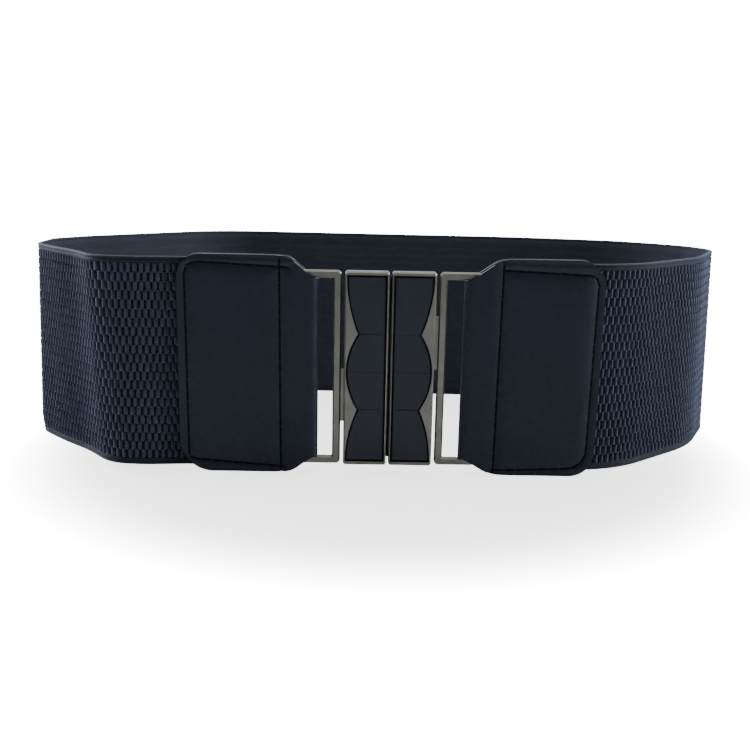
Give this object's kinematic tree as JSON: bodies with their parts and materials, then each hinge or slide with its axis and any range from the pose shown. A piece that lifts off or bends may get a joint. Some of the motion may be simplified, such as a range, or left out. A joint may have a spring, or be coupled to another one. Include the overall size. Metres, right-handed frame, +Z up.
{
  "type": "elastic stretch belt",
  "caption": "Wide elastic waist belt standing closed in a loop, with leather tabs folded round metal loops and a hinged hook buckle with scalloped dark inlays.",
  "frame": {"origin": "middle of the belt's box, on the floor that its lower edge stands on", "axes": "+X to the right seen from the buckle's side, -Y the way the buckle faces, +Z up along the band's width"},
  "size_m": [0.2744, 0.1218, 0.0782],
  "materials": {
    "elastic": "dark navy woven elastic, matt, with staggered oval bumps",
    "leather": "near-black navy, smooth, slight sheen, painted edges",
    "gunmetal": "gunmetal plating, satin",
    "enamel": "dark navy, smooth, satin",
    "steel": "plain, satin"
  },
  "bodies": {
    "root": {"elastic_band": "elastic", "left_tab": "leather", "right_tab": "leather", "left_loop": "gunmetal", "right_loop": "gunmetal", "left_plate": "gunmetal", "right_plate": "gunmetal", "left_inlay": "enamel", "right_inlay": "enamel", "left_hinge_pin": "steel", "right_hinge_pin": "steel", "clasp_hook": "steel"}
  },
  "joints": []
}
